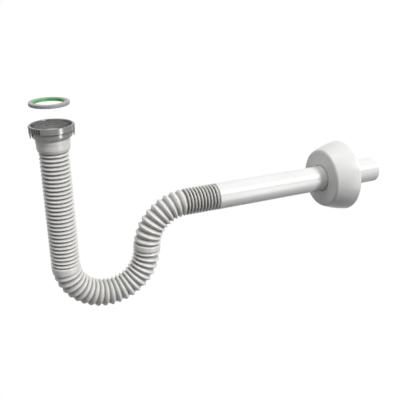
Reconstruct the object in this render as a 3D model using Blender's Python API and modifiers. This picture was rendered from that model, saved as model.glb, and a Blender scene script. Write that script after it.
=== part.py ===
"""Flexible sink trap: union nut, seal, corrugated trap hose, outlet pipe and wall flange.

Metres, +Z up. The origin is the centre of the union nut's top rim, where the sink's waste
screws in. The hose hangs down from there, turns up in a U, and leaves along +X to the wall.
"""

import math

import bmesh
import bpy

# Sides of the round pieces
NUT_SIDES = 48
RING_SIDES = 36
HOSE_SIDES = 14
PIPE_SIDES = 32
FLANGE_SIDES = 44
ROUNDING_STEPS = 4

# Clearances between pieces
CLEARANCE = 0.0003
MERGE_DISTANCE = 0.00005

# Union nut, for a 1 1/4 inch pipe thread of 41.91 mm
NUT_RIM_R = 0.0228
NUT_BORE_R = 0.02075
NUT_HEIGHT = 0.0127
NUT_BAND_HEIGHT = 0.0061
NUT_LOWER_R = 0.0208
NUT_FOOT_R = 0.0204
NUT_FLOOR = 0.0010
NUT_WELL_DEPTH = 0.0103
NUT_CHAMFER = 0.0004

# Ears of the nut, which hang from its band and are gripped to turn it
EAR_COUNT = 2
EAR_FIRST = math.radians(-8)
EAR_WIDTH = math.radians(34)
EAR_FOOT_WIDTH = math.radians(26)
EAR_TOP = 0.0008
EAR_BOTTOM = 0.0122
EAR_R = 0.0236
EAR_FOOT_R = 0.0227
EAR_INNER_R = 0.0218
EAR_EDGE = 0.0005

# Inlet collar, the socket that the nut pulls up against the seal
COLLAR_FLANGE_R = 0.0196
COLLAR_FLANGE_THICKNESS = 0.0013
COLLAR_WAIST_R = 0.0170
COLLAR_NECK_R = 0.0179
COLLAR_LIP_R = 0.0164
COLLAR_LIP_Z = -0.0280
COLLAR_ROUND = 0.0034

# Sealing washer, lifted out of the nut, and the seal ring inside it
WASHER_LIFT = 0.0202
WASHER_THICKNESS = 0.0034
WASHER_PLAY = 0.00015
WASHER_HOLE_R = 0.0160
WASHER_EDGE = 0.0004
SEAL_BORE_R = 0.0150
SEAL_RECESS = 0.0002

# Corrugated hose: radii of the wall, and its plain ends
HOSE_CREST_R = 0.0160
HOSE_ROOT_R = 0.0133
HOSE_WALL = 0.0009
HOSE_TOP_CUFF_R = 0.0144
HOSE_TOP_CUFF = 0.0141
HOSE_END_CUFF = 0.0135

# Corrugated hose: its rings, from groove to groove, pushed together or pulled out
FIRST_GROOVE = 0.0285
LEG_RINGS = 29
LEG_PITCH = 0.00455
LEG_CUFF = 0.0094
BEND_RINGS = 20
BEND_PITCH = 0.00702
RISE_CUFF = 0.0072
SWEEP_RINGS = 10
SWEEP_PITCH = 0.0070
END_RINGS = 10
END_PITCH = 0.00409
CREST_SHARE = 0.26
CUFF_SHARE = 0.72

# Corrugated hose: the route of its centre line, in the plane y = 0
LEG_LENGTH = 0.1604
BEND_R = 0.0482
BEND_TURN = math.radians(175)
RISE_LENGTH = 0.0080
SWEEP_R = 0.0493
ROUTE_STEP = 0.0025

# Outlet pipe, 32 mm outside
PIPE_R = 0.0160
PIPE_WALL = 0.0018
PIPE_LENGTH = 0.2340
PIPE_EDGE = 0.0005
PIPE_GAP = 0.0009

# Wall flange, a deep cup that slides on the pipe
FLANGE_AT = 0.1510
FLANGE_FRONT_R = 0.0378
FLANGE_BACK_R = 0.04515
FLANGE_DEPTH = 0.0305
FLANGE_WALL = 0.0022
FLANGE_ROUND = 0.0040
FLANGE_BULGE = 0.0008
FLANGE_RIM = 0.0008
FLANGE_PLAY = 0.0005


def clear_scene():
    for thing in list(bpy.data.objects):
        bpy.data.objects.remove(thing, do_unlink=True)


def new_collection(name):
    made = bpy.data.collections.new(name)
    bpy.context.scene.collection.children.link(made)
    return made


def new_material(name, colour, roughness, metallic=0.0):
    made = bpy.data.materials.new(name)
    made.use_nodes = True
    shader = made.node_tree.nodes["Principled BSDF"]
    shader.inputs["Base Color"].default_value = (*colour, 1.0)
    shader.inputs["Roughness"].default_value = roughness
    shader.inputs["Metallic"].default_value = metallic
    return made


def arc(centre_r, centre_z, radius, first, last):
    """Points (r, z) of a profile along an arc, from the first angle to the last."""
    angles = [first + (last - first) * k / ROUNDING_STEPS for k in range(ROUNDING_STEPS + 1)]
    return [(centre_r + radius * math.cos(a), centre_z + radius * math.sin(a)) for a in angles]


def turned(name, profile, sides, collection, finish):
    """A closed profile of (r, z) points, turned round the object's own Z axis."""
    mesh = bpy.data.meshes.new(name)
    count = len(profile)
    mesh.from_pydata(
        [(r, 0.0, z) for r, z in profile],
        [(k, (k + 1) % count) for k in range(count)],
        [],
    )
    mesh.materials.append(finish)
    made = bpy.data.objects.new(name, mesh)
    collection.objects.link(made)
    screw = made.modifiers.new("Turn", "SCREW")
    screw.axis = "Z"
    screw.angle = math.tau
    screw.steps = sides
    screw.render_steps = sides
    screw.use_merge_vertices = True
    screw.merge_threshold = MERGE_DISTANCE
    return made


def lay_along_x(made, x, z):
    """Turns a piece that was made along +Z so that it runs along +X from the given place."""
    made.location = (x, 0.0, z)
    made.rotation_euler = (0.0, math.pi / 2, 0.0)


def shade(made):
    """Applies the modifiers and shades the round faces smooth, with the real edges sharp."""
    bpy.context.view_layer.update()
    graph = bpy.context.evaluated_depsgraph_get()
    mesh = bpy.data.meshes.new_from_object(made.evaluated_get(graph), depsgraph=graph)
    mesh.name = made.name
    mesh.shade_smooth()
    mesh.set_sharp_from_angle(angle=math.radians(35))
    made.modifiers.clear()
    made.data = mesh


def ear_guide(name, collection):
    """Both ears as plates curved round the nut's axis, which narrow towards the foot."""
    outline = [
        (EAR_INNER_R, -EAR_TOP),
        (EAR_R - EAR_EDGE, -EAR_TOP),
        (EAR_R, -EAR_TOP - EAR_EDGE),
        (EAR_R, -NUT_BAND_HEIGHT),
        (EAR_FOOT_R, -EAR_BOTTOM),
        (EAR_INNER_R, -EAR_BOTTOM),
    ]
    mesh = bmesh.new()
    for k in range(EAR_COUNT):
        middle = EAR_FIRST + math.tau * k / EAR_COUNT
        slices = []
        for j in range(2 * ROUNDING_STEPS + 1):
            share = j / (2 * ROUNDING_STEPS) - 0.5
            corners = []
            for r, z in outline:
                width = EAR_WIDTH + (EAR_FOOT_WIDTH - EAR_WIDTH) * z / -EAR_BOTTOM
                angle = middle + width * share
                corners.append(mesh.verts.new((r * math.cos(angle), r * math.sin(angle), z)))
            slices.append(corners)
        for here, there in zip(slices, slices[1:]):
            for m in range(len(outline)):
                n = (m + 1) % len(outline)
                mesh.faces.new((here[m], here[n], there[n], there[m]))
        mesh.faces.new(slices[0])
        mesh.faces.new(slices[-1])
    bmesh.ops.recalc_face_normals(mesh, faces=mesh.faces)
    bmesh.ops.triangulate(mesh, faces=mesh.faces)
    data = bpy.data.meshes.new(name)
    mesh.to_mesh(data)
    mesh.free()
    guide = bpy.data.objects.new(name, data)
    collection.objects.link(guide)
    guide.hide_render = True
    guide.display_type = "WIRE"
    return guide


def make_union_nut(parts, guides):
    """A threaded band with an ear on each side, over a plain band that turns on the collar."""
    floor_z = NUT_FLOOR - NUT_HEIGHT
    well_r = COLLAR_FLANGE_R + CLEARANCE
    hole_r = COLLAR_WAIST_R + CLEARANCE
    profile = [
        (NUT_BORE_R + NUT_CHAMFER, 0.0),
        (NUT_RIM_R - NUT_CHAMFER, 0.0),
        (NUT_RIM_R, -NUT_CHAMFER),
        (NUT_RIM_R, -NUT_BAND_HEIGHT),
        (NUT_LOWER_R, -NUT_BAND_HEIGHT),
        (NUT_LOWER_R, -NUT_WELL_DEPTH),
        (NUT_FOOT_R, -NUT_HEIGHT),
        (hole_r, -NUT_HEIGHT),
        (hole_r, floor_z),
        (well_r, floor_z),
        (well_r, -NUT_WELL_DEPTH),
        (NUT_BORE_R, -NUT_WELL_DEPTH + NUT_CHAMFER),
        (NUT_BORE_R, -NUT_CHAMFER),
    ]
    finish = new_material("nut_grey", (0.25, 0.25, 0.24), 0.30, 0.40)
    nut = turned("union_nut", profile, NUT_SIDES, parts, finish)
    join = nut.modifiers.new("Join ears", "BOOLEAN")
    join.operation = "UNION"
    join.solver = "EXACT"
    join.object = ear_guide("nut_ears_guide", guides)
    shade(nut)


def make_collar(parts):
    """A socket for the hose's top end, with the flange that the nut's floor lifts."""
    flange_z = NUT_FLOOR - NUT_HEIGHT + CLEARANCE
    shoulder_z = -NUT_HEIGHT - CLEARANCE
    bore_r = HOSE_TOP_CUFF_R - HOSE_WALL
    socket_r = HOSE_TOP_CUFF_R + CLEARANCE
    stop_z = CLEARANCE + HOSE_TOP_CUFF - FIRST_GROOVE
    neck_width = COLLAR_NECK_R - COLLAR_LIP_R
    rounding = []
    for k in range(ROUNDING_STEPS + 1):
        angle = math.pi / 2 * k / ROUNDING_STEPS
        r = COLLAR_LIP_R + neck_width * math.cos(angle)
        rounding.append((r, COLLAR_LIP_Z + COLLAR_ROUND * (1 - math.sin(angle))))
    profile = [
        (COLLAR_FLANGE_R, flange_z + COLLAR_FLANGE_THICKNESS),
        (COLLAR_FLANGE_R, flange_z),
        (COLLAR_WAIST_R, flange_z),
        (COLLAR_WAIST_R, shoulder_z),
        (COLLAR_NECK_R, shoulder_z),
        *rounding,
        (socket_r, COLLAR_LIP_Z),
        (socket_r, stop_z),
        (bore_r, stop_z),
        (bore_r, flange_z + COLLAR_FLANGE_THICKNESS),
    ]
    finish = new_material("collar_white", (0.80, 0.79, 0.77), 0.35)
    shade(turned("inlet_collar", profile, RING_SIDES, parts, finish))


def make_washer(parts):
    """The grey sealing washer, above the nut that it drops into."""
    top = WASHER_LIFT + WASHER_THICKNESS
    outer_r = NUT_BORE_R - WASHER_PLAY
    profile = [
        (outer_r - WASHER_EDGE, top),
        (outer_r, top - WASHER_EDGE),
        (outer_r, WASHER_LIFT + WASHER_EDGE),
        (outer_r - WASHER_EDGE, WASHER_LIFT),
        (WASHER_HOLE_R, WASHER_LIFT),
        (WASHER_HOLE_R, top),
    ]
    finish = new_material("washer_grey", (0.42, 0.42, 0.42), 0.55)
    shade(turned("sealing_washer", profile, RING_SIDES, parts, finish))


def make_seal(parts):
    """The green seal ring that lines the washer's hole."""
    top = WASHER_LIFT + WASHER_THICKNESS - SEAL_RECESS
    bottom = WASHER_LIFT + SEAL_RECESS
    outer_r = WASHER_HOLE_R - CLEARANCE
    profile = [(outer_r, top), (outer_r, bottom), (SEAL_BORE_R, bottom), (SEAL_BORE_R, top)]
    finish = new_material("seal_green", (0.06, 0.42, 0.08), 0.45)
    shade(turned("washer_seal", profile, RING_SIDES, parts, finish))


def ring_stretches():
    """(number of rings, pitch, share of the pitch that the crest takes) along the hose."""
    return [
        (LEG_RINGS, LEG_PITCH, CREST_SHARE),
        (1, LEG_CUFF, CUFF_SHARE),
        (BEND_RINGS, BEND_PITCH, CREST_SHARE),
        (1, RISE_CUFF, CUFF_SHARE),
        (SWEEP_RINGS, SWEEP_PITCH, CREST_SHARE),
        (END_RINGS, END_PITCH, CREST_SHARE),
    ]


def last_groove():
    return FIRST_GROOVE + sum(count * pitch for count, pitch, _ in ring_stretches())


def hose_profile():
    """The bellows wall laid out straight: its distance from the axis, and its place along it."""
    outer = []
    inner = []
    groove = FIRST_GROOVE
    for count, pitch, share in ring_stretches():
        flank = pitch * (1 - share) / 2
        for _ in range(count):
            outer.append((HOSE_ROOT_R, groove))
            outer.append((HOSE_CREST_R, groove + flank))
            outer.append((HOSE_CREST_R, groove + pitch - flank))
            inner.append((HOSE_ROOT_R - HOSE_WALL, groove))
            inner.append((HOSE_CREST_R - HOSE_WALL, groove + pitch / 2))
            groove += pitch
    end_r = PIPE_R - PIPE_WALL - CLEARANCE
    outer[0] = (HOSE_TOP_CUFF_R, FIRST_GROOVE)
    inner[0] = (HOSE_TOP_CUFF_R - HOSE_WALL, FIRST_GROOVE)
    outer += [(end_r, groove), (end_r, groove + HOSE_END_CUFF)]
    inner += [(end_r - HOSE_WALL, groove), (end_r - HOSE_WALL, groove + HOSE_END_CUFF)]
    top = FIRST_GROOVE - HOSE_TOP_CUFF
    outer.insert(0, (HOSE_TOP_CUFF_R, top))
    inner.insert(0, (HOSE_TOP_CUFF_R - HOSE_WALL, top))
    return outer[::-1] + inner


def sweep_turn():
    """The angle that the second curve turns back, so that the hose leaves level."""
    return BEND_TURN - math.pi / 2


def straight_run_starts():
    """Length of the route from the origin to the end of its last curve."""
    return LEG_LENGTH + BEND_TURN * BEND_R + RISE_LENGTH + sweep_turn() * SWEEP_R


def route_place(s):
    """The centre line at length s from the origin: (x, z).

    It goes down the leg, round the U, up the short rise, back round the sweep, then along +X.
    """
    on_bend = min(max(s - LEG_LENGTH, 0.0), BEND_TURN * BEND_R)
    on_rise = min(max(s - LEG_LENGTH - BEND_TURN * BEND_R, 0.0), RISE_LENGTH)
    on_run = max(s - straight_run_starts(), 0.0)
    on_sweep = max(s - straight_run_starts() + sweep_turn() * SWEEP_R, 0.0) - on_run
    bent = on_bend / BEND_R
    left = BEND_TURN - on_sweep / SWEEP_R
    x = BEND_R * (1 - math.cos(bent)) + on_rise * math.sin(BEND_TURN)
    x += SWEEP_R * (math.cos(left) - math.cos(BEND_TURN)) + on_run
    z = -min(s, LEG_LENGTH) - BEND_R * math.sin(bent) - on_rise * math.cos(BEND_TURN)
    z += SWEEP_R * (math.sin(left) - math.sin(BEND_TURN))
    return (x, z)


def make_route(guides):
    """The guide curve that the straight bellows is bent along."""
    length = max(last_groove() + HOSE_END_CUFF, straight_run_starts()) + ROUTE_STEP
    count = math.ceil(length / ROUTE_STEP)
    places = [route_place(length * k / count) for k in range(count + 1)]
    curve = bpy.data.curves.new("hose_route", "CURVE")
    curve.dimensions = "3D"
    spline = curve.splines.new("POLY")
    spline.points.add(count)
    for point, (x, z) in zip(spline.points, places):
        point.co = (x, 0.0, z, 1.0)
    route = bpy.data.objects.new("hose_route", curve)
    guides.objects.link(route)
    route.hide_render = True
    route.display_type = "WIRE"
    return route


def make_hose(parts, guides):
    """One bellows with plain ends, turned straight and bent along its route."""
    finish = new_material("hose_white", (0.80, 0.79, 0.77), 0.38)
    hose = turned("flexible_hose", hose_profile(), HOSE_SIDES, parts, finish)
    bend = hose.modifiers.new("Bend", "CURVE")
    bend.object = make_route(guides)
    bend.deform_axis = "POS_Z"
    shade(hose)


def pipe_start():
    """Where the outlet pipe begins, just past the hose's last groove: (x, z)."""
    return route_place(last_groove() + PIPE_GAP)


def make_pipe(parts):
    """The plain outlet pipe, slid over the hose's end."""
    bore_r = PIPE_R - PIPE_WALL
    profile = [
        (PIPE_R - PIPE_EDGE, PIPE_LENGTH),
        (PIPE_R, PIPE_LENGTH - PIPE_EDGE),
        (PIPE_R, PIPE_EDGE),
        (PIPE_R - PIPE_EDGE, 0.0),
        (bore_r, 0.0),
        (bore_r, PIPE_LENGTH),
    ]
    finish = new_material("pipe_white", (0.84, 0.84, 0.83), 0.28)
    pipe = turned("outlet_pipe", profile, PIPE_SIDES, parts, finish)
    lay_along_x(pipe, *pipe_start())
    shade(pipe)


def cup_side(front_r, back_r, low_z, high_z):
    """Points down a cup's slightly bulging side, from the back rim to the front rounding."""
    points = []
    for k in range(ROUNDING_STEPS + 1):
        t = k / ROUNDING_STEPS
        r = back_r + (front_r - back_r) * t + FLANGE_BULGE * math.sin(math.pi * t)
        points.append((r, high_z + (low_z - high_z) * t))
    return points


def make_flange(parts):
    """The wall flange: a flat front with a rounded edge, widening to the rim at the wall."""
    slope = math.atan2(FLANGE_BACK_R - FLANGE_FRONT_R, FLANGE_DEPTH - FLANGE_ROUND)
    centre_r = FLANGE_FRONT_R - FLANGE_ROUND
    inner_round = FLANGE_ROUND - FLANGE_WALL
    rim_z = FLANGE_DEPTH - FLANGE_RIM
    hole_r = PIPE_R + FLANGE_PLAY
    outer_arc = arc(centre_r, FLANGE_ROUND, FLANGE_ROUND, -slope, -math.pi / 2)
    inner_arc = arc(centre_r, FLANGE_ROUND, inner_round, -math.pi / 2, -slope)
    inner_back_r = FLANGE_BACK_R - FLANGE_WALL
    outer_side = cup_side(outer_arc[0][0], FLANGE_BACK_R, outer_arc[0][1], rim_z)
    inner_side = cup_side(inner_arc[-1][0], inner_back_r, inner_arc[-1][1], rim_z)[::-1]
    profile = [
        (FLANGE_BACK_R, FLANGE_DEPTH),
        *outer_side,
        *outer_arc[1:],
        (hole_r, 0.0),
        (hole_r, FLANGE_WALL),
        *inner_arc[:-1],
        *inner_side,
        (inner_back_r, FLANGE_DEPTH),
    ]
    finish = new_material("flange_white", (0.83, 0.82, 0.81), 0.30)
    flange = turned("wall_flange", profile, FLANGE_SIDES, parts, finish)
    pipe_x, pipe_z = pipe_start()
    lay_along_x(flange, pipe_x + FLANGE_AT, pipe_z)
    shade(flange)


def main():
    clear_scene()
    parts = new_collection("flexible_sink_trap")
    guides = new_collection("guides")
    make_union_nut(parts, guides)
    make_collar(parts)
    make_washer(parts)
    make_seal(parts)
    make_hose(parts, guides)
    make_pipe(parts)
    make_flange(parts)


main()
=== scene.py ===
import math

import bpy
import numpy as np
from mathutils import Matrix, Vector


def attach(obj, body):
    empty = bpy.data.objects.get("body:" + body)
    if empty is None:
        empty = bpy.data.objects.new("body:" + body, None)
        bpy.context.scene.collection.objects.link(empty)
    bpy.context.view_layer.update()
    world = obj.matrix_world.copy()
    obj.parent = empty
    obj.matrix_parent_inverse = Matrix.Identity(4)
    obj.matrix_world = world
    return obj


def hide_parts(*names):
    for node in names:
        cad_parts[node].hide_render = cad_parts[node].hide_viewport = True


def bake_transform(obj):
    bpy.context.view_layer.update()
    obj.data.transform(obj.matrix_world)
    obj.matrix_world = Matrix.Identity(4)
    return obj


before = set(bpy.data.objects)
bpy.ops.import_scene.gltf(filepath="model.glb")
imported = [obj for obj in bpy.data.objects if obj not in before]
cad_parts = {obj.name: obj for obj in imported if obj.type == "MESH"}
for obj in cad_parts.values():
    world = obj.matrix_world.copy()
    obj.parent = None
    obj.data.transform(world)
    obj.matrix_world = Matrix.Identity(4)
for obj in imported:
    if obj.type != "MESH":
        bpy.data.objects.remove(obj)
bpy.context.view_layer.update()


# Small tools for profiles and grids

def filletedProfile(corners, steps=6, support=0.6, straightFrom=176):
    # each corner (r, h, fillet) of a closed outline becomes an arc of steps + 1 points that touches both
    # of its sides, with one more point on each side, support fillets further off, so that flat faces stay
    # flat when shaded smooth; a corner more open than straightFrom degrees stays a point
    places = np.array([c[:2] for c in corners], float)
    before = np.roll(places, 1, axis=0)
    after = np.roll(places, -1, axis=0)
    outline = []
    for (*_, fillet), a, b, c in zip(corners, before, places, after):
        toA = (a - b) / np.linalg.norm(a - b)
        toC = (c - b) / np.linalg.norm(c - b)
        opening = math.acos(float(np.clip(toA @ toC, -1, 1)))
        if fillet <= 0 or opening > math.radians(straightFrom):
            outline.append(b[None, :])
            continue
        reach = fillet / math.tan(opening / 2)
        middle = (toA + toC) / np.linalg.norm(toA + toC)
        centre = b + middle * fillet / math.sin(opening / 2)
        start = b + toA * reach - centre
        finish = b + toC * reach - centre
        turn = math.atan2(start[0] * finish[1] - start[1] * finish[0], start @ finish)
        angles = math.atan2(start[1], start[0]) + turn * np.linspace(0, 1, steps + 1)
        arc = centre + fillet * np.stack([np.cos(angles), np.sin(angles)], axis=1)
        lead = b + toA * (reach + support * fillet)
        tail = b + toC * (reach + support * fillet)
        outline.append(np.vstack([lead, arc, tail]))
    return np.vstack(outline)


def turnedGrid(profile, sides):
    # x = r cos(angle), y = r sin(angle), z = h, for every profile point and every angle
    angle = np.linspace(0, 2 * np.pi, sides, endpoint=False)
    r = profile[:, 0][:, None]
    h = profile[:, 1][:, None] + 0 * angle[None, :]
    return np.stack([r * np.cos(angle), r * np.sin(angle), h], axis=-1)


def alongX(grid, startX, centreZ):
    # the turned shape laid over: its own height runs along +X from startX
    return np.stack([startX + grid[..., 2], grid[..., 1], centreZ - grid[..., 0]], axis=-1)


def closedGridFaces(rows, columns):
    # four-sided faces that join each grid point to the next in both directions, round and round
    index = np.arange(rows * columns).reshape(rows, columns)
    right = np.roll(index, -1, axis=1)
    below = np.roll(index, -1, axis=0)
    diagonal = np.roll(below, -1, axis=1)
    return np.stack([index, right, diagonal, below], axis=-1).reshape(-1, 4)


def cappedGridFaces(rows, columns):
    # faces that join each row to the next, and at both ends a fan of four-sided faces round a middle
    # point; the columns are an even number and go round and round
    index = np.arange(rows * columns).reshape(rows, columns)
    right = np.roll(index, -1, axis=1)
    sides = np.stack([index[:-1], right[:-1], right[1:], index[1:]], axis=-1).reshape(-1, 4)
    middles = rows * columns + np.zeros((2, columns // 2), int) + np.array([[0], [1]])
    ends = index[[0, -1]]
    near, half, far = ends[:, ::2], ends[:, 1::2], np.roll(ends, -2, axis=1)[:, ::2]
    fans = np.stack([middles, near, half, far], axis=-1)
    return np.vstack([sides, fans[0][:, ::-1], fans[1]])


def facesOutward(points, faces):
    # the sum of the wedges from the origin to each face is the volume, which is negative inside out
    a, b, c, d = (points[faces[:, k]] for k in range(4))
    wedges = np.einsum("ij,ij->i", a, np.cross(b, c)) + np.einsum("ij,ij->i", a, np.cross(c, d))
    return faces if wedges.sum() > 0 else faces[:, ::-1]


def pieceFromGrids(name, grids, finish, sharpDegrees=40, capped=False):
    # one object from one or more grids, each a ring of rows or a row of rings with capped ends
    points = []
    faces = []
    offset = 0
    for grid in grids:
        flat = grid.reshape(-1, 3)
        if capped:
            flat = np.vstack([flat, grid[0].mean(axis=0), grid[-1].mean(axis=0)])
            made = facesOutward(flat, cappedGridFaces(*grid.shape[:2]))
        else:
            made = facesOutward(flat, closedGridFaces(*grid.shape[:2]))
        points.append(flat)
        faces.append(made + offset)
        offset += len(flat)
    points = np.vstack(points)
    faces = np.vstack(faces)
    mesh = bpy.data.meshes.new(name)
    mesh.vertices.add(len(points))
    mesh.vertices.foreach_set("co", points.astype(np.float32).ravel())
    mesh.loops.add(faces.size)
    mesh.loops.foreach_set("vertex_index", faces.astype(np.int32).ravel())
    mesh.polygons.add(len(faces))
    mesh.polygons.foreach_set("loop_start", np.arange(0, faces.size, faces.shape[1], dtype=np.int32))
    mesh.update(calc_edges=True)
    mesh.shade_smooth()
    mesh.set_sharp_from_angle(angle=math.radians(sharpDegrees))
    mesh.materials.append(finish)
    piece = bpy.data.objects.new(name, mesh)
    bpy.context.scene.collection.objects.link(piece)
    return piece


def smoothRise(value, start, end):
    # nothing before start, all after end, and a smooth S between them
    t = np.clip((value - start) / (end - start), 0, 1)
    return t * t * (3 - 2 * t)


def addPointValue(piece, name, values):
    # one number for every point of the piece, which a finish reads by its name
    attribute = piece.data.attributes.new(name, "FLOAT", "POINT")
    attribute.data.foreach_set("value", np.asarray(values, np.float32).ravel())


# Node groups that several finishes share

def newGroup(name, inputs, outputs):
    group = bpy.data.node_groups.new(name, "ShaderNodeTree")
    for label, kind, value in inputs:
        socket = group.interface.new_socket(name=label, in_out="INPUT", socket_type=kind)
        if value is not None:
            socket.default_value = value
    for label, kind in outputs:
        group.interface.new_socket(name=label, in_out="OUTPUT", socket_type=kind)
    return group, group.nodes.new("NodeGroupInput"), group.nodes.new("NodeGroupOutput")


def noiseNode(tree, vector, scale, detail):
    # vector and scale are sockets, and detail is a number
    noise = tree.nodes.new("ShaderNodeTexNoise")
    noise.inputs["Detail"].default_value = detail
    tree.links.new(vector, noise.inputs["Vector"])
    tree.links.new(scale, noise.inputs["Scale"])
    return noise.outputs[0]


def mathNode(tree, operation, *values):
    # each value is a number or the socket that gives it
    node = tree.nodes.new("ShaderNodeMath")
    node.operation = operation
    for socket, value in zip(node.inputs, values):
        if isinstance(value, (int, float)):
            socket.default_value = value
        else:
            tree.links.new(value, socket)
    return node.outputs[0]


def mixColour(tree, share, first, second):
    node = tree.nodes.new("ShaderNodeMix")
    node.data_type = "RGBA"
    # a mix node's colour sockets come after those for numbers and vectors
    for place, value in ((0, share), (6, first), (7, second)):
        tree.links.new(value, node.inputs[place])
    return node.outputs[2]


skinShape = {
    "cloudDetail": 3.0,
    "grainDetail": 1.0,
    "cloudContrast": 2.4,
    "cloudShift": 0.7,
}


def makeMouldedSkin():
    # colour drifts slowly between two tones, roughness drifts with it, and a fine grain gives the height
    group, entry, leave = newGroup(
        "mouldedSkin",
        [
            ("Vector", "NodeSocketVector", None),
            ("Light Tone", "NodeSocketColor", (0.8, 0.8, 0.8, 1.0)),
            ("Dark Tone", "NodeSocketColor", (0.7, 0.7, 0.7, 1.0)),
            ("Cloud Scale", "NodeSocketFloat", 30.0),
            ("Grain Scale", "NodeSocketFloat", 1800.0),
            ("Roughness", "NodeSocketFloat", 0.35),
            ("Roughness Spread", "NodeSocketFloat", 0.08),
        ],
        [
            ("Color", "NodeSocketColor"),
            ("Roughness", "NodeSocketFloat"),
            ("Height", "NodeSocketFloat"),
        ],
    )
    cloud = noiseNode(group, entry.outputs["Vector"], entry.outputs["Cloud Scale"], skinShape["cloudDetail"])
    grain = noiseNode(group, entry.outputs["Vector"], entry.outputs["Grain Scale"], skinShape["grainDetail"])
    steep = mathNode(group, "MULTIPLY", cloud, skinShape["cloudContrast"])
    share = mathNode(group, "SUBTRACT", steep, skinShape["cloudShift"])
    clamped = group.nodes.new("ShaderNodeClamp")
    group.links.new(share, clamped.inputs["Value"])
    colour = mixColour(group, clamped.outputs[0], entry.outputs["Light Tone"], entry.outputs["Dark Tone"])
    centred = mathNode(group, "SUBTRACT", mathNode(group, "ADD", cloud, grain), 1.0)
    drift = mathNode(group, "MULTIPLY", centred, entry.outputs["Roughness Spread"])
    rough = mathNode(group, "ADD", entry.outputs["Roughness"], drift)
    group.links.new(colour, leave.inputs["Color"])
    group.links.new(rough, leave.inputs["Roughness"])
    group.links.new(grain, leave.inputs["Height"])
    return group


def makeGrooveShade():
    # painted shade: the higher a point's number for its place in a groove, seam or other shaded spot, the
    # more its colour takes the dark shade tone, which stands in for the shade that falls there
    group, entry, leave = newGroup(
        "grooveShade",
        [
            ("Color", "NodeSocketColor", (0.8, 0.8, 0.8, 1.0)),
            ("Painted Shade Tone", "NodeSocketColor", (0.3, 0.3, 0.28, 1.0)),
            ("Depth", "NodeSocketFloat", 0.0),
            ("Strength", "NodeSocketFloat", 0.8),
        ],
        [("Color", "NodeSocketColor")],
    )
    share = mathNode(group, "MULTIPLY", entry.outputs["Depth"], entry.outputs["Strength"])
    colour = mixColour(group, share, entry.outputs["Color"], entry.outputs["Painted Shade Tone"])
    group.links.new(colour, leave.inputs["Color"])
    return group


mouldedSkin = makeMouldedSkin()
grooveShade = makeGrooveShade()


# what a look has where the piece's own look says nothing else
plainLook = {
    "cloudScale": 30.0,
    "grainScale": 1800.0,
    "grainStrength": 0.15,
    "grainHeight": 0.00003,
    "roughnessSpread": 0.08,
    "metallic": 0.0,
    "specular": 0.5,
}


def newFinish(name, ownLook):
    # a Principled shader whose colour, roughness and grain come from the moulded skin group
    look = {**plainLook, **ownLook}
    finish = bpy.data.materials.new(name)
    finish.use_nodes = True
    tree = finish.node_tree
    shader = tree.nodes["Principled BSDF"]
    place = tree.nodes.new("ShaderNodeTexCoord")
    skin = tree.nodes.new("ShaderNodeGroup")
    skin.node_tree = mouldedSkin
    tree.links.new(place.outputs["Object"], skin.inputs["Vector"])
    skin.inputs["Light Tone"].default_value = (*look["lightTone"], 1.0)
    skin.inputs["Dark Tone"].default_value = (*look["darkTone"], 1.0)
    skin.inputs["Cloud Scale"].default_value = look["cloudScale"]
    skin.inputs["Grain Scale"].default_value = look["grainScale"]
    skin.inputs["Roughness"].default_value = look["roughness"]
    skin.inputs["Roughness Spread"].default_value = look["roughnessSpread"]
    tree.links.new(skin.outputs["Color"], shader.inputs["Base Color"])
    tree.links.new(skin.outputs["Roughness"], shader.inputs["Roughness"])
    bump = tree.nodes.new("ShaderNodeBump")
    bump.inputs["Strength"].default_value = look["grainStrength"]
    bump.inputs["Distance"].default_value = look["grainHeight"]
    tree.links.new(skin.outputs["Height"], bump.inputs["Height"])
    tree.links.new(bump.outputs["Normal"], shader.inputs["Normal"])
    shader.inputs["Metallic"].default_value = look["metallic"]
    shader.inputs["Specular IOR Level"].default_value = look["specular"]
    return finish, tree, shader, skin


def addGrooveShade(tree, shader, skin, attribute, look):
    # the skin's colour passes through the groove shade group, which paints shade by a number on the points
    reader = tree.nodes.new("ShaderNodeAttribute")
    reader.attribute_name = attribute
    shade = tree.nodes.new("ShaderNodeGroup")
    shade.node_tree = grooveShade
    shade.inputs["Painted Shade Tone"].default_value = (*look["paintedShadeTone"], 1.0)
    shade.inputs["Strength"].default_value = look["paintedShadeStrength"]
    tree.links.new(reader.outputs["Fac"], shade.inputs["Depth"])
    tree.links.new(skin.outputs["Color"], shade.inputs["Color"])
    tree.links.new(shade.outputs["Color"], shader.inputs["Base Color"])


# Union nut: a threaded band over a plain band, with two ears and short flutes beside them

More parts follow.
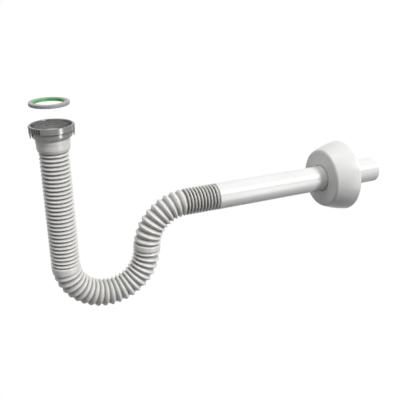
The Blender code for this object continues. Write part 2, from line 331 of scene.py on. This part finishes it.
nut = {
    "sides": 384,
    "rimRadius": 0.0228,
    "boreRadius": 0.02075,
    # the lip of the bore: how much wider than the bore, and at what height
    "lip": ((0.0, -0.0006), (0.0002, -0.0002), (0.0005, 0.0)),
    "height": 0.0127,
    "bandHeight": 0.0061,
    "bandRows": 14,
    "bandRowsEnd": 0.0006,
    "lowerRadius": 0.0208,
    "lowerRound": 0.002,
    "footRadius": 0.0204,
    "footRound": 0.0006,
    "floor": 0.0010,
    "wellDepth": 0.0103,
    "wellRadius": 0.0199,
    "wellChamfer": 0.0004,
    "holeRadius": 0.0173,
    "boreRows": 48,
    "boreRowsBottom": 0.0008,
    "boreRowsTop": -0.0009,
    "threadPitch": 0.00231,
    "threadDepth": 0.00016,
    "threadTop": -0.0012,
    "threadBottom": -0.0086,
    "threadFade": 0.0010,
    "ridgeLevel": 1.35,
    "ridgeSlope": 4.2,
    "edge": 0.00035,
    "smallEdge": 0.0002,
    "roundSteps": 5,
    "earCount": 2,
    "earFirst": -8.0,
    "earWidth": 34.0,
    "earFootWidth": 26.0,
    "earTop": 0.0008,
    "earBottom": 0.0122,
    "earRadius": 0.0236,
    "earFootRadius": 0.0227,
    "earInnerRadius": 0.0218,
    "earEdge": 0.0005,
    "earShoulder": 0.002,
    "earInnerEdge": 0.0002,
    "earFootEdge": 0.0003,
    "earEndRows": 5,
    "earMiddleRows": 15,
    "earEndSize": 0.4,
    "earEndShare": 0.07,
    "earMiddleShare": 0.92,
    "fluteCount": 5,
    "fluteAfterEar": 5.0,
    "flutePitch": 7.0,
    "fluteDepth": 0.0012,
    "fluteTop": -0.0007,
    "fluteTopFade": 0.0006,
    "fluteBottomFade": 0.0002,
    "fluteReach": 0.0003,
    "undersideReach": 0.0001,
    "paintedShadeReach": 0.0005,
    "underBandShadeShare": 0.6,
    "look": {
        "lightTone": (0.29, 0.29, 0.282),
        "darkTone": (0.235, 0.235, 0.228),
        "roughness": 0.22,
        "metallic": 0.35,
        "grainScale": 1400.0,
        # painted shade: the near-black tone put into the flutes, the corner under the band and the underside
        "paintedShadeTone": (0.012, 0.012, 0.011),
        "paintedShadeStrength": 1.0,
    },
}


def fluteDepths(angle, height):
    # upright grooves of half a sine each, in a group on one side of every ear, faded at the band's edges
    turn = 360.0 / nut["earCount"]
    fromEar = (np.degrees(angle) - nut["earFirst"] - nut["earWidth"] / 2 - nut["fluteAfterEar"]) % turn
    inside = fromEar < nut["fluteCount"] * nut["flutePitch"]
    wave = np.abs(np.sin(np.pi * fromEar / nut["flutePitch"])) * inside
    top = np.clip((nut["fluteTop"] - height) / nut["fluteTopFade"], 0, 1)
    bottom = np.clip((height + nut["bandHeight"]) / nut["fluteBottomFade"], 0, 1)
    return wave * top * bottom


def nutBodyGrid():
    # a turned outline whose bore is pushed inwards by the thread: its ridge climbs one pitch a turn,
    # so the phase is height / pitch - angle / full turn, and it fades out at both ends; the band is
    # pushed inwards by the flutes; it gives the grid and, at each point, the share of painted shade,
    # a dark tone that stands in for the shade in the flutes, under the band and on the underside
    wellTop = -nut["wellDepth"]
    corners = [
        (nut["rimRadius"], 0.0, nut["edge"]),
        (nut["rimRadius"], -nut["bandHeight"], nut["edge"]),
        (nut["lowerRadius"], -nut["bandHeight"], nut["smallEdge"]),
        (nut["lowerRadius"], wellTop, nut["lowerRound"]),
        (nut["footRadius"], -nut["height"], nut["footRound"]),
        (nut["holeRadius"], -nut["height"], nut["smallEdge"]),
        (nut["holeRadius"], nut["floor"] - nut["height"], nut["smallEdge"]),
        (nut["wellRadius"], nut["floor"] - nut["height"], 0.0),
        (nut["wellRadius"], wellTop, 0.0),
        (nut["boreRadius"], wellTop + nut["wellChamfer"], 0.0),
        (nut["boreRadius"] + nut["lip"][-1][0], 0.0, 0.0),
    ]
    # the last corner only aims the first fillet, and comes back as the end of the lip
    outline = filletedProfile(corners, steps=nut["roundSteps"])[:-1]
    rimRows = nut["roundSteps"] + 3
    bandSide = np.linspace(nut["fluteTop"], nut["bandRowsEnd"] - nut["bandHeight"], nut["bandRows"])
    bandSide = np.stack([0 * bandSide + nut["rimRadius"], bandSide], axis=1)
    outline = np.vstack([outline[:rimRows], bandSide, outline[rimRows:]])
    wall = np.linspace(wellTop + nut["boreRowsBottom"], nut["boreRowsTop"], nut["boreRows"])
    bore = np.stack([0 * wall + nut["boreRadius"], wall], axis=1)
    lip = np.array(nut["lip"]) + (nut["boreRadius"], 0.0)
    profile = np.vstack([outline, bore, lip])
    angle = np.linspace(0, 2 * np.pi, nut["sides"], endpoint=False)
    height = profile[:, 1][:, None]
    phase = (height / nut["threadPitch"] - angle[None, :] / (2 * np.pi)) % 1.0
    ridge = smoothRise(nut["ridgeLevel"] - np.abs(phase - 0.5) * nut["ridgeSlope"], 0, 1)
    fade = np.clip((nut["threadTop"] - height) / nut["threadFade"], 0, 1)
    fade = fade * np.clip((height - nut["threadBottom"]) / nut["threadFade"], 0, 1)
    isBore = np.zeros(len(profile))
    isBore[len(outline):len(outline) + len(bore)] = 1
    radius = profile[:, 0][:, None] - nut["threadDepth"] * ridge * fade * isBore[:, None]
    isBand = (np.abs(profile[:, 0] - nut["rimRadius"]) < nut["fluteReach"])[:, None]
    flutes = fluteDepths(angle[None, :], height) * isBand
    radius = radius - nut["fluteDepth"] * flutes
    grid = np.stack([radius * np.cos(angle), radius * np.sin(angle), height + 0 * angle], axis=-1)
    # the painted shade is full in the flutes and on the nut's underside, standing in for the shade that
    # falls there, and weaker in the corner under the band
    fromCorner = np.abs(profile - (nut["lowerRadius"], -nut["bandHeight"])).max(axis=1)
    underBand = (fromCorner < nut["paintedShadeReach"]) & (isBore == 0)
    underside = profile[:, 1] < nut["undersideReach"] - nut["height"]
    underside = underside & (profile[:, 0] < nut["footRadius"] - nut["footRound"])
    return grid, np.maximum(flutes, (nut["underBandShadeShare"] * underBand + underside)[:, None])


def nutEarGrid(k):
    # a rounded outline in radius and height, carried round the axis; its width shrinks with depth,
    # and it draws in towards its own core along a quarter circle at both ends; size is each section's
    # share of the whole outline, and share is its place from one side of the ear to the other
    corners = [
        (nut["earInnerRadius"], -nut["earTop"], nut["earInnerEdge"]),
        (nut["earRadius"], -nut["earTop"], nut["earEdge"]),
        (nut["earRadius"], -nut["bandHeight"], nut["earShoulder"]),
        (nut["earFootRadius"], -nut["earBottom"], nut["earFootEdge"]),
        (nut["earInnerRadius"], -nut["earBottom"], nut["earFootEdge"]),
    ]
    outline = filletedProfile(corners, steps=nut["roundSteps"])
    thickness = nut["earFootRadius"] - nut["earInnerRadius"]
    core = outline.copy()
    core[:, 0] = nut["earInnerRadius"] + thickness / 2
    core[:, 1] = np.clip(core[:, 1], thickness - nut["earBottom"], -nut["earTop"] - thickness)
    turn = np.radians(np.linspace(0, 90, nut["earEndRows"]))
    grown = nut["earEndSize"] + (1 - nut["earEndSize"]) * np.sin(turn)
    size = np.concatenate([grown, np.ones(nut["earMiddleRows"]), grown[::-1]])
    drawn = nut["earEndShare"] * (1 - np.cos(turn))
    middleShare = np.linspace(-nut["earMiddleShare"], nut["earMiddleShare"], nut["earMiddleRows"])
    share = np.concatenate([drawn - 1, middleShare, 1 - drawn[::-1]])
    place = core[None, :, :] + (outline - core)[None, :, :] * size[:, None, None]
    width = nut["earWidth"] + (nut["earFootWidth"] - nut["earWidth"]) * place[..., 1] / -nut["earBottom"]
    middle = nut["earFirst"] + 360.0 / nut["earCount"] * k
    angle = np.radians(middle + width / 2 * share[:, None])
    return np.stack([place[..., 0] * np.cos(angle), place[..., 0] * np.sin(angle), place[..., 1]], axis=-1)


nutFinish, nutTree, nutShader, nutSkin = newFinish("nutSatinGrey", nut["look"])
addGrooveShade(nutTree, nutShader, nutSkin, "paintedShadeShare", nut["look"])
bodyGrid, bodyPaintedShade = nutBodyGrid()
nutBody = pieceFromGrids("nut_body", [bodyGrid], nutFinish)
addPointValue(nutBody, "paintedShadeShare", bodyPaintedShade)
earGrids = [nutEarGrid(k) for k in range(nut["earCount"])]
nutEars = pieceFromGrids("nut_ears", earGrids, nutFinish, capped=True)
for piece in (nutBody, nutEars):
    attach(piece, "nut")
    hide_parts("union_nut")
print("union nut built")


# Inlet collar: the flange that the nut lifts, and the neck that holds the hose

collar = {
    "sides": 144,
    "flangeRadius": 0.0196,
    "flangeTop": -0.0101,
    "flangeBottom": -0.0114,
    "waistRadius": 0.0170,
    "neckTop": -0.0130,
    "neckRadius": 0.0179,
    "lipRadius": 0.0164,
    "lipHeight": -0.0280,
    "lipRound": 0.0034,
    "beadHeight": -0.0182,
    "beadDepth": 0.0004,
    "beadStep": 0.0002,
    "socketRadius": 0.0147,
    "socketStop": -0.0141,
    "boreRadius": 0.0135,
    "flangeEdge": 0.0003,
    "neckEdge": 0.0004,
    "beadEdge": 0.0001,
    "neckFootRound": 0.002,
    "lipEdge": 0.0006,
    "socketEdge": 0.0002,
    "roundSteps": 7,
    "look": {
        "lightTone": (0.80, 0.79, 0.765),
        "darkTone": (0.74, 0.73, 0.70),
        "roughness": 0.36,
    },
}


def collarProfile():
    # from the flange's top down the waist and the neck, round the lip, and up inside the socket
    bead = collar["beadHeight"]
    shallow = collar["neckRadius"] - collar["beadDepth"]
    corners = [
        (collar["boreRadius"], collar["flangeTop"], collar["flangeEdge"]),
        (collar["flangeRadius"], collar["flangeTop"], collar["flangeEdge"]),
        (collar["flangeRadius"], collar["flangeBottom"], collar["flangeEdge"]),
        (collar["waistRadius"], collar["flangeBottom"], 0.0),
        (collar["waistRadius"], collar["neckTop"], 0.0),
        (collar["neckRadius"], collar["neckTop"], collar["neckEdge"]),
        (collar["neckRadius"], bead, collar["beadEdge"]),
        (shallow, bead - collar["beadStep"], collar["beadEdge"]),
        (shallow, collar["lipHeight"] + collar["lipRound"], collar["neckFootRound"]),
        (collar["lipRadius"], collar["lipHeight"], collar["lipEdge"]),
        (collar["socketRadius"], collar["lipHeight"], collar["socketEdge"]),
        (collar["socketRadius"], collar["socketStop"], 0.0),
        (collar["boreRadius"], collar["socketStop"], 0.0),
    ]
    return filletedProfile(corners, steps=collar["roundSteps"])


collarFinish, *_ = newFinish("collarWhite", collar["look"])
collarRing = pieceFromGrids("collar_ring", [turnedGrid(collarProfile(), collar["sides"])], collarFinish)
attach(collarRing, "inlet")
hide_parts("inlet_collar")
print("inlet collar built")


# Sealing washer and the green seal inside it, lifted off their seat

washer = {
    "sides": 144,
    "bottom": 0.0202,
    "top": 0.0236,
    "outerRadius": 0.0206,
    "holeRadius": 0.0160,
    "edge": 0.0005,
    "holeEdge": 0.0003,
    "sealRadius": 0.0150,
    "sealEdge": 0.0003,
    "sealOuter": 0.0157,
    "sealOuterEdge": 0.0002,
    "sealBottom": 0.0204,
    "sealTop": 0.0234,
    "look": {
        "lightTone": (0.40, 0.40, 0.40),
        "darkTone": (0.34, 0.34, 0.34),
        "roughness": 0.5,
        "grainScale": 2600.0,
        "grainStrength": 0.3,
    },
    "sealLook": {
        "lightTone": (0.105, 0.52, 0.13),
        "darkTone": (0.065, 0.40, 0.085),
        "roughness": 0.4,
    },
}

washerFinish, *_ = newFinish("washerGreyRubber", washer["look"])
washerCorners = [
    (washer["holeRadius"], washer["bottom"], washer["holeEdge"]),
    (washer["outerRadius"], washer["bottom"], washer["edge"]),
    (washer["outerRadius"], washer["top"], washer["edge"]),
    (washer["holeRadius"], washer["top"], washer["holeEdge"]),
]
washerGrid = turnedGrid(filletedProfile(washerCorners), washer["sides"])
washerRing = pieceFromGrids("washer_ring", [washerGrid], washerFinish)
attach(washerRing, "inlet")
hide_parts("sealing_washer")

sealFinish, *_ = newFinish("sealGreenRubber", washer["sealLook"])
sealCorners = [
    (washer["sealRadius"], washer["sealBottom"], washer["sealEdge"]),
    (washer["sealOuter"], washer["sealBottom"], washer["sealOuterEdge"]),
    (washer["sealOuter"], washer["sealTop"], washer["sealOuterEdge"]),
    (washer["sealRadius"], washer["sealTop"], washer["sealEdge"]),
]
sealGrid = turnedGrid(filletedProfile(sealCorners), washer["sides"])
sealRing = pieceFromGrids("seal_ring", [sealGrid], sealFinish)
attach(sealRing, "inlet")
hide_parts("washer_seal")
print("washer and seal built")


# Flexible hose: rings of several pitches carried along a leg, a U, a rise, a sweep and a run

hose = {
    "sides": 88,
    "wall": 0.0009,
    "legLength": 0.1604,
    "bendRadius": 0.0482,
    "bendTurn": 175.0,
    "riseLength": 0.0080,
    "sweepRadius": 0.0493,
    "topCuffStart": 0.0144,
    "topCuffRadius": 0.0144,
    "firstGroove": 0.0285,
    "firstRing": 0.0290,
    "endCuff": 0.0135,
    "endCuffRadius": 0.0139,
    "crestRadius": 0.01598,
    "rootRadius": 0.0129,
    "rowsPerFlank": 6,
    "cuffRows": 28,
    "cuffPower": 10,
    "plainRows": 8,
    "plainGap": 0.0002,
    "plainShade": 0.3,
    "shadeStart": 0.2,
    "sharpFrom": 80,
    # rings: count, pitch, how blunt the crest is, where in the pitch it stands, the power of the painted
    # groove shade, which spreads wider below 1, and the most that it takes of the painted shade tone; cuffs:
    # length
    "leg": (29, 0.00455, 0.30, 0.5, 1.0, 1.0),
    "legCuff": 0.0089,
    "bend": (20, 0.00702, 0.10, 0.54, 1.0, 1.0),
    "riseCuff": 0.0072,
    "sweep": (10, 0.0070, 0.10, 0.54, 1.0, 1.0),
    "end": (10, 0.00409, 0.30, 0.55, 0.65, 1.5),
    "look": {
        "lightTone": (0.83, 0.82, 0.795),
        "darkTone": (0.78, 0.77, 0.74),
        "roughness": 0.33,
        # painted shade: the dark tone put into the grooves between the rings
        "paintedShadeTone": (0.13, 0.125, 0.115),
        "paintedShadeStrength": 0.78,
    },
}


def routeFrame(s):
    # centre line at length s and the direction square to it in the plane y = 0: down the leg, round
    # the U, up the short rise, back round the sweep until it is level, and along the run
    turn = math.radians(hose["bendTurn"])
    back = turn - math.pi / 2
    bendEnd = hose["legLength"] + turn * hose["bendRadius"]
    sweepEnd = bendEnd + hose["riseLength"] + back * hose["sweepRadius"]
    bent = np.clip(s - hose["legLength"], 0, bendEnd - hose["legLength"]) / hose["bendRadius"]
    rise = np.clip(s - bendEnd, 0, hose["riseLength"])
    swept = np.clip(s - bendEnd - hose["riseLength"], 0, back * hose["sweepRadius"])
    left = turn - swept / hose["sweepRadius"]
    run = np.clip(s - sweepEnd, 0, None)
    x = hose["bendRadius"] * (1 - np.cos(bent)) + rise * math.sin(turn)
    x = x + hose["sweepRadius"] * (np.cos(left) - math.cos(turn)) + run
    z = -np.minimum(s, hose["legLength"]) - hose["bendRadius"] * np.sin(bent) - rise * math.cos(turn)
    z = z + hose["sweepRadius"] * (np.sin(left) - math.sin(turn))
    heading = bent + left - turn
    return x, z, -np.cos(heading), -np.sin(heading)


def ringRows(start, count, pitch, blunt, stand, darkening, most):
    # the crest's height over one pitch is a hyperbola's: sharp at the groove, rounded at the top;
    # the painted shade rises with the depth raised to the given power, a dark tone for the shade in the
    # grooves
    flank = np.arange(hose["rowsPerFlank"]) / hose["rowsPerFlank"]
    u = np.concatenate([stand * flank, stand + (1 - stand) * flank])[None, :]
    s = start + pitch * (np.arange(count)[:, None] + u)
    d = np.concatenate([1 - flank, flank])[None, :] + 0 * s
    far = math.sqrt(1 + blunt * blunt)
    height = (far - np.sqrt(d * d + blunt * blunt)) / (far - blunt)
    depth = (1 - height.ravel()) ** darkening
    return s.ravel(), height.ravel(), most * smoothRise(depth, hose["shadeStart"], 1)


def cuffRows(start, length):
    # a flat band whose two shoulders fall to the grooves: its height is the root of 1 less a high power
    # of the distance from its middle, with more rows towards the shoulders
    u = (1 - np.cos(np.linspace(0, np.pi, hose["cuffRows"] + 1)[:-1])) / 2
    d = np.abs(2 * u - 1)
    height = (1 - d ** hose["cuffPower"]) ** 0.5
    return start + length * u, height, smoothRise(1 - height, hose["shadeStart"], 1)


def hoseRows(stretches, start):
    # place along the hose, height of the crest and share of painted groove shade, for every outside row
    rows = []
    for kind in stretches:
        if kind.endswith("Cuff"):
            rows.append(cuffRows(start, hose[kind]))
            start += hose[kind]
        else:
            rows.append(ringRows(start, *hose[kind]))
            start += hose[kind][0] * hose[kind][1]
    return [np.concatenate(part) for part in zip(*rows)], start


def bellowsGrid(s, r):
    # outside forwards and inside backwards, each row a circle of radius r square to the route
    allS = np.concatenate([s, s[::-1]])
    allR = np.concatenate([r, r[::-1] - hose["wall"]])
    x, z, acrossX, acrossZ = (v[:, None] for v in routeFrame(allS))
    angle = np.linspace(0, 2 * np.pi, hose["sides"], endpoint=False)[None, :]
    reach = allR[:, None] * np.cos(angle)
    return np.stack([x + reach * acrossX, allR[:, None] * np.sin(angle), z + reach * acrossZ], axis=-1)


def hosePiece(name, s, heights, shades, leadS, leadRadius, leadShade, tailS, tailRadius, tailShade):
    # rows of rings between two plain ends; inside the wall there is no painted shade
    depth = hose["crestRadius"] - hose["rootRadius"]
    r = hose["rootRadius"] + depth * heights
    s = np.concatenate([leadS, s, tailS])
    r = np.concatenate([0 * leadS + leadRadius, r, 0 * tailS + tailRadius])
    shades = np.concatenate([0 * leadS + leadShade, shades, 0 * tailS + tailShade])
    piece = pieceFromGrids(name, [bellowsGrid(s, r)], hoseFinish, sharpDegrees=hose["sharpFrom"])
    shades = np.concatenate([shades, 0 * shades])
    addPointValue(piece, "paintedGrooveShade", np.repeat(shades[:, None], hose["sides"], axis=1))
    return piece


hoseFinish, hoseTree, hoseShader, hoseSkin = newFinish("hoseWhite", hose["look"])
addGrooveShade(hoseTree, hoseShader, hoseSkin, "paintedGrooveShade", hose["look"])

(legS, legHeights, legShades), legEnd = hoseRows(["leg"], hose["firstRing"])
topCuffS = np.linspace(hose["topCuffStart"], hose["firstRing"] - hose["plainGap"], hose["plainRows"])
hoseLeg = hosePiece(
    "hose_leg", legS, legHeights, legShades,
    topCuffS, hose["topCuffRadius"], hose["plainShade"],
    np.array([legEnd]), hose["rootRadius"], 1.0,
)
bendStretches = ["legCuff", "bend", "riseCuff", "sweep", "end"]
(bendS, bendHeights, bendShades), bendEnd = hoseRows(bendStretches, legEnd)
endCuffS = bendEnd + np.linspace(0.0, hose["endCuff"], hose["plainRows"])
hoseBend = hosePiece(
    "hose_bend", bendS, bendHeights, bendShades,
    np.array([]), hose["rootRadius"], 1.0,
    endCuffS, hose["endCuffRadius"], hose["plainShade"],
)

for piece in (hoseLeg, hoseBend):
    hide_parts("flexible_hose")
endX, endZ, *_ = routeFrame(np.array([bendEnd - hose["end"][0] * hose["end"][1], bendEnd]))
runHeight = float(endZ[1])
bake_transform(hoseLeg)
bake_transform(hoseBend)
print("hose built")


# Outlet pipe

pipe = {
    "sides": 128,
    "startX": 0.18652,
    "length": 0.2340,
    "radius": 0.0160,
    "wall": 0.0018,
    "edge": 0.0006,
    "innerEdge": 0.0003,
    "look": {
        "lightTone": (0.84, 0.84, 0.83),
        "darkTone": (0.80, 0.80, 0.785),
        "roughness": 0.28,
        "cloudScale": 18.0,
    },
}

pipeFinish, *_ = newFinish("pipeWhite", pipe["look"])
pipeCorners = [
    (pipe["radius"] - pipe["wall"], 0.0, pipe["innerEdge"]),
    (pipe["radius"], 0.0, pipe["edge"]),
    (pipe["radius"], pipe["length"], pipe["edge"]),
    (pipe["radius"] - pipe["wall"], pipe["length"], pipe["innerEdge"]),
]
pipeGrid = alongX(turnedGrid(filletedProfile(pipeCorners), pipe["sides"]), pipe["startX"], runHeight)
pipeTube = pieceFromGrids("pipe_tube", [pipeGrid], pipeFinish)
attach(pipeTube, "outlet")
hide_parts("outlet_pipe")
print("outlet pipe built")


# Wall flange: a hollow cup that slides on the pipe

flange = {
    "sides": 160,
    "frontX": 0.33752,
    "frontRadius": 0.0378,
    "backRadius": 0.04515,
    "depth": 0.0305,
    "wall": 0.0022,
    "frontRound": 0.0040,
    "bulge": 0.0008,
    "rimRound": 0.0005,
    "holeRadius": 0.0165,
    "holeRound": 0.0010,
    "arcRows": 13,
    "smallArcRows": 5,
    "sideRows": 14,
    "faceRows": 8,
    "faceMargin": 0.001,
    "paintedShadeReach": 0.0022,
    "paintedShadeStart": 0.2,
    "look": {
        "lightTone": (0.85, 0.845, 0.835),
        "darkTone": (0.80, 0.795, 0.78),
        "roughness": 0.30,
        "cloudScale": 22.0,
        # painted shade: the dark tone put round the pipe's hole
        "paintedShadeTone": (0.10, 0.095, 0.09),
        "paintedShadeStrength": 0.85,
    },
}


def arcPoints(centreRadius, centreHeight, radius, angles):
    # an arc in radius and height round a centre, at the given angles
    return np.stack([centreRadius + radius * np.cos(angles), centreHeight + radius * np.sin(angles)], axis=1)


def flangeSide(front, back, low, high):
    # a straight slant from front to back that swells by half a sine in the middle
    t = np.linspace(0, 1, flange["sideRows"])
    r = front + (back - front) * t + flange["bulge"] * np.sin(np.pi * t)
    return np.stack([r, low + (high - low) * t], axis=1)


def flangeProfile():
    # outside from the hole over the rounded front edge to the rim, then the inside back again
    rounding = flange["frontRound"]
    slope = math.atan2(flange["backRadius"] - flange["frontRadius"], flange["depth"] - rounding)
    centre = flange["frontRadius"] - rounding
    outerTurn = np.linspace(-np.pi / 2, -slope, flange["arcRows"])
    outerArc = arcPoints(centre, rounding, rounding, outerTurn)
    innerArc = arcPoints(centre, rounding, rounding - flange["wall"], outerTurn[::-1])
    rim = flange["depth"] - flange["rimRound"]
    side = flangeSide(outerArc[-1, 0], flange["backRadius"], outerArc[-1, 1], rim)
    insideBack = flange["backRadius"] - flange["wall"]
    inside = flangeSide(innerArc[0, 0], insideBack, innerArc[0, 1], rim)[::-1]
    rimTurn = np.linspace(0, np.pi / 2, flange["smallArcRows"])[1:]
    rimArc = arcPoints(flange["backRadius"] - flange["rimRound"], rim, flange["rimRound"], rimTurn)
    hole = flange["holeRadius"]
    lip = flange["holeRound"]
    holeArc = arcPoints(hole + lip, lip, lip, np.linspace(np.pi, 3 * np.pi / 2, flange["smallArcRows"]))
    face = np.linspace(hole + lip + flange["faceMargin"], centre - flange["faceMargin"], flange["faceRows"])
    faceRow = np.stack([face, 0 * face], axis=1)
    insideFace = np.array([(centre, flange["wall"]), (hole, flange["wall"])])
    lastRim = np.array([(insideBack, flange["depth"])])
    outsideRows = [holeArc, faceRow, outerArc, side[1:], rimArc]
    return np.vstack([*outsideRows, lastRim, inside, innerArc[1:-1], insideFace])


flangeFinish, flangeTree, flangeShader, flangeSkin = newFinish("flangeWhite", flange["look"])
addGrooveShade(flangeTree, flangeShader, flangeSkin, "paintedShadeShare", flange["look"])
flangeRows = flangeProfile()
flangeGrid = alongX(turnedGrid(flangeRows, flange["sides"]), flange["frontX"], runHeight)
flangeCup = pieceFromGrids("flange_cup", [flangeGrid], flangeFinish)
# painted shade, full in the hole and fading out along the front face, stands in for the shade round the pipe
nearHole = 1 - (flangeRows[:, 0] - flange["holeRadius"]) / flange["paintedShadeReach"]
holeShadeShares = smoothRise(nearHole, flange["paintedShadeStart"], 1)
addPointValue(flangeCup, "paintedShadeShare", np.repeat(holeShadeShares[:, None], flange["sides"], axis=1))
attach(flangeCup, "flange")
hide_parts("wall_flange")
print("wall flange built")


# Floor, world and lamps

studio = {
    "floorHeight": -0.85,
    "floorSize": 12.0,
    "floorTone": (0.04, 0.04, 0.04),
    "floorRoughness": 0.9,
    "floorSpecular": 0.1,
    "floorCameraShare": 0.8,
    "skyTone": (0.27, 0.273, 0.278),
    # each sun's strength, spread in degrees, direction that it shines from, and whether it shows in gloss
    "suns": {
        "keyLamp": (2.35, 18.0, (0.50, -0.60, 0.62), True),
        "topLamp": (0.95, 50.0, (-0.25, 0.10, 0.96), True),
        "fillLamp": (0.30, 60.0, (-0.20, -0.97, -0.12), False),
        "backLamp": (1.1, 30.0, (0.20, 0.97, -0.05), False),
    },
    "stripEnergy": 9.0,
    "stripPlace": (0.90, -1.25, -0.30),
    "stripTarget": (0.0, 0.0, -0.02),
    "stripSize": (0.34, 1.0),
}


def seenDirectly(tree):
    # one for what the camera sees, also in a gloss or through glass, and nothing for any other light
    seen = tree.nodes.new("ShaderNodeLightPath")
    direct = mathNode(tree, "ADD", seen.outputs["Is Camera Ray"], seen.outputs["Is Glossy Ray"])
    return mathNode(tree, "ADD", direct, seen.outputs["Is Transmission Ray"])


def makeFloor():
    # almost white where it is seen directly, and dark to other light, so that it throws little upwards
    size = studio["floorSize"]
    mesh = bpy.data.meshes.new("floor")
    corners = [(-size, -size), (size, -size), (size, size), (-size, size)]
    mesh.from_pydata([(x, y, studio["floorHeight"]) for x, y in corners], [], [(0, 1, 2, 3)])
    made = bpy.data.objects.new("floor", mesh)
    bpy.context.scene.collection.objects.link(made)
    finish = bpy.data.materials.new("floorPale")
    finish.use_nodes = True
    tree = finish.node_tree
    shader = tree.nodes["Principled BSDF"]
    shader.inputs["Base Color"].default_value = (*studio["floorTone"], 1.0)
    shader.inputs["Roughness"].default_value = studio["floorRoughness"]
    shader.inputs["Specular IOR Level"].default_value = studio["floorSpecular"]
    glow = tree.nodes.new("ShaderNodeEmission")
    glow.inputs["Strength"].default_value = 1.0
    pale = tree.nodes.new("ShaderNodeBsdfDiffuse")
    pale.inputs["Color"].default_value = (1.0, 1.0, 1.0, 1.0)
    whole = tree.nodes.new("ShaderNodeMixShader")
    whole.inputs["Fac"].default_value = studio["floorCameraShare"]
    tree.links.new(pale.outputs[0], whole.inputs[1])
    tree.links.new(glow.outputs[0], whole.inputs[2])
    choose = tree.nodes.new("ShaderNodeMixShader")
    tree.links.new(seenDirectly(tree), choose.inputs["Fac"])
    tree.links.new(shader.outputs[0], choose.inputs[1])
    tree.links.new(whole.outputs[0], choose.inputs[2])
    tree.links.new(choose.outputs[0], tree.nodes["Material Output"].inputs["Surface"])
    mesh.materials.append(finish)


def makeWorld():
    # white where it is seen directly, and a dim grey as a source of light
    world = bpy.data.worlds.new("studioWorld")
    bpy.context.scene.world = world
    world.use_nodes = True
    tree = world.node_tree
    sky = tree.nodes["Background"]
    sky.inputs["Color"].default_value = (*studio["skyTone"], 1.0)
    sky.inputs["Strength"].default_value = 1.0
    white = tree.nodes.new("ShaderNodeBackground")
    white.inputs["Color"].default_value = (1.0, 1.0, 1.0, 1.0)
    choose = tree.nodes.new("ShaderNodeMixShader")
    tree.links.new(seenDirectly(tree), choose.inputs["Fac"])
    tree.links.new(sky.outputs[0], choose.inputs[1])
    tree.links.new(white.outputs[0], choose.inputs[2])
    tree.links.new(choose.outputs[0], tree.nodes["World Output"].inputs["Surface"])


def aimed(place, target):
    # the turn of a lamp that shines from place to target
    return (Vector(target) - Vector(place)).to_track_quat("-Z", "Y").to_euler()


def makeLamps():
    for name, (energy, spread, shineFrom, inGloss) in studio["suns"].items():
        sun = bpy.data.lights.new(name, "SUN")
        sun.energy = energy
        sun.angle = math.radians(spread)
        sunObject = bpy.data.objects.new(name, sun)
        sunObject.rotation_euler = aimed(shineFrom, (0, 0, 0))
        sunObject.visible_glossy = inGloss
        bpy.context.scene.collection.objects.link(sunObject)
    # the strip is only seen in reflections, so that it doesn't light the pale pieces from below
    strip = bpy.data.lights.new("stripLamp", "AREA")
    strip.shape = "RECTANGLE"
    strip.size, strip.size_y = studio["stripSize"]
    strip.energy = studio["stripEnergy"]
    stripObject = bpy.data.objects.new("stripLamp", strip)
    stripObject.visible_diffuse = False
    stripObject.location = studio["stripPlace"]
    stripObject.rotation_euler = aimed(studio["stripPlace"], studio["stripTarget"])
    bpy.context.scene.collection.objects.link(stripObject)


makeFloor()
makeWorld()
makeLamps()
print("studio built")


# Camera at the photograph's angle

view = {
    "place": (-0.1059, -0.6115, 0.1586),
    "turn": 23.96,
    "tilt": 22.07,
    "roll": 0.51,
    # the focal length in pixels of a picture that is widePixels across
    "focalPixels": 603.46,
    "widePixels": 400,
    "sensor": 36.0,
    "clipStart": 0.01,
    "clipEnd": 100.0,
}


def makeCamera():
    # turn is to the right of +Y, tilt downwards, and roll clockwise, in degrees
    turn, tilt, roll = (math.radians(view[k]) for k in ("turn", "tilt", "roll"))
    forward = Vector((math.sin(turn) * math.cos(tilt), math.cos(turn) * math.cos(tilt), -math.sin(tilt)))
    level = Vector((math.cos(turn), -math.sin(turn), 0.0))
    downward = forward.cross(level)
    right = level * math.cos(roll) + downward * math.sin(roll)
    down = downward * math.cos(roll) - level * math.sin(roll)
    camera = bpy.data.cameras.new("photoCamera")
    camera.sensor_width = view["sensor"]
    camera.lens = view["focalPixels"] / view["widePixels"] * view["sensor"]
    camera.clip_start = view["clipStart"]
    camera.clip_end = view["clipEnd"]
    made = bpy.data.objects.new("photoCamera", camera)
    axes = Matrix((right, -down, -forward)).transposed().to_4x4()
    made.matrix_world = Matrix.Translation(view["place"]) @ axes
    bpy.context.scene.collection.objects.link(made)
    bpy.context.scene.camera = made


makeCamera()
bpy.context.scene.view_settings.view_transform = "Standard"
print("camera placed")

bpy.context.view_layer.update()
